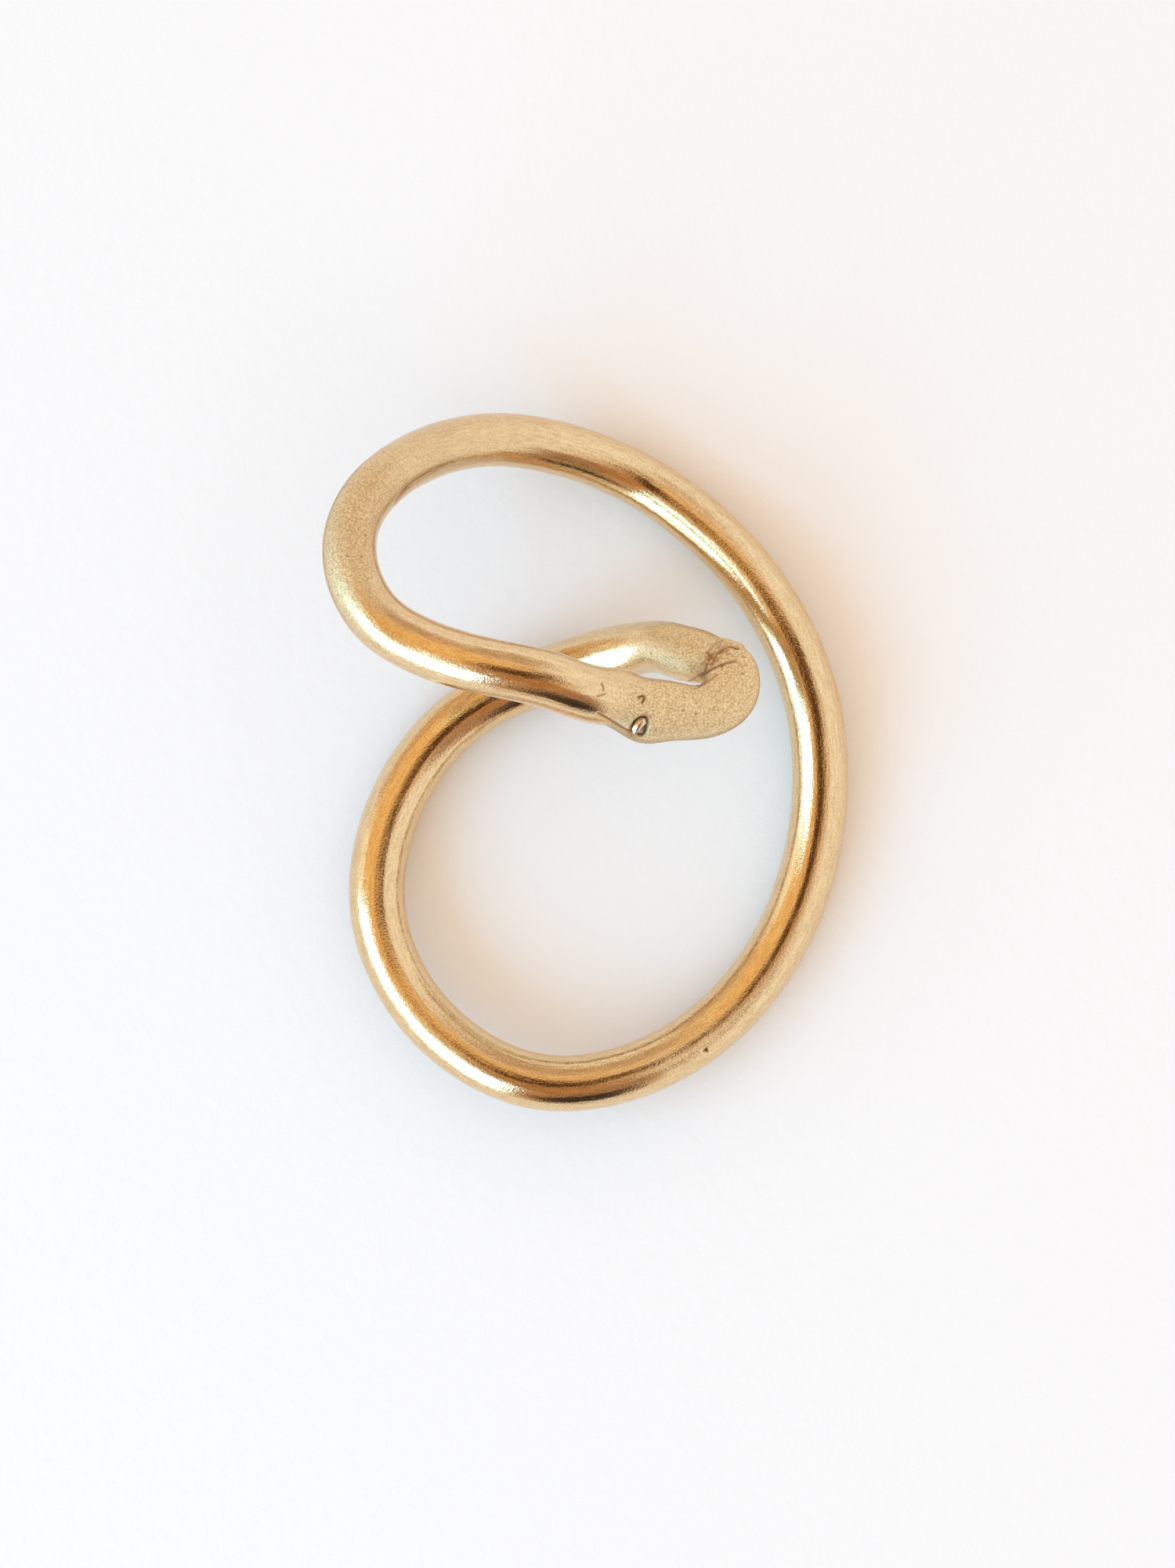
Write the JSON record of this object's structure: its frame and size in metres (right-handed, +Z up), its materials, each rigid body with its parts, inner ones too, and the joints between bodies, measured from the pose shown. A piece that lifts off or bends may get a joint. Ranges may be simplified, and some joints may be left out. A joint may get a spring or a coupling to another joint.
{
  "type": "wire ring puzzle piece",
  "caption": "Closed loop of bent brass wire: a large ring that climbs into a raised oval lobe, crosses back over itself and ends in a short soldered hairpin.",
  "frame": {"origin": "middle of the bounding box, on the table plane that the ring lies on", "axes": "+Y across the ring towards the raised lobe's side, +X to the right seen from above, +Z up from the table"},
  "size_m": [0.0232, 0.031, 0.0122],
  "materials": {
    "satin_brass": "satin, brightly polished in places",
    "worked_brass": "grainy matte",
    "brass_solder": "pitted, cast"
  },
  "bodies": {
    "root": {"formed_wire": "satin_brass", "hairpin_link": "worked_brass", "front_solder": "brass_solder", "rear_solder": "brass_solder"}
  },
  "joints": []
}
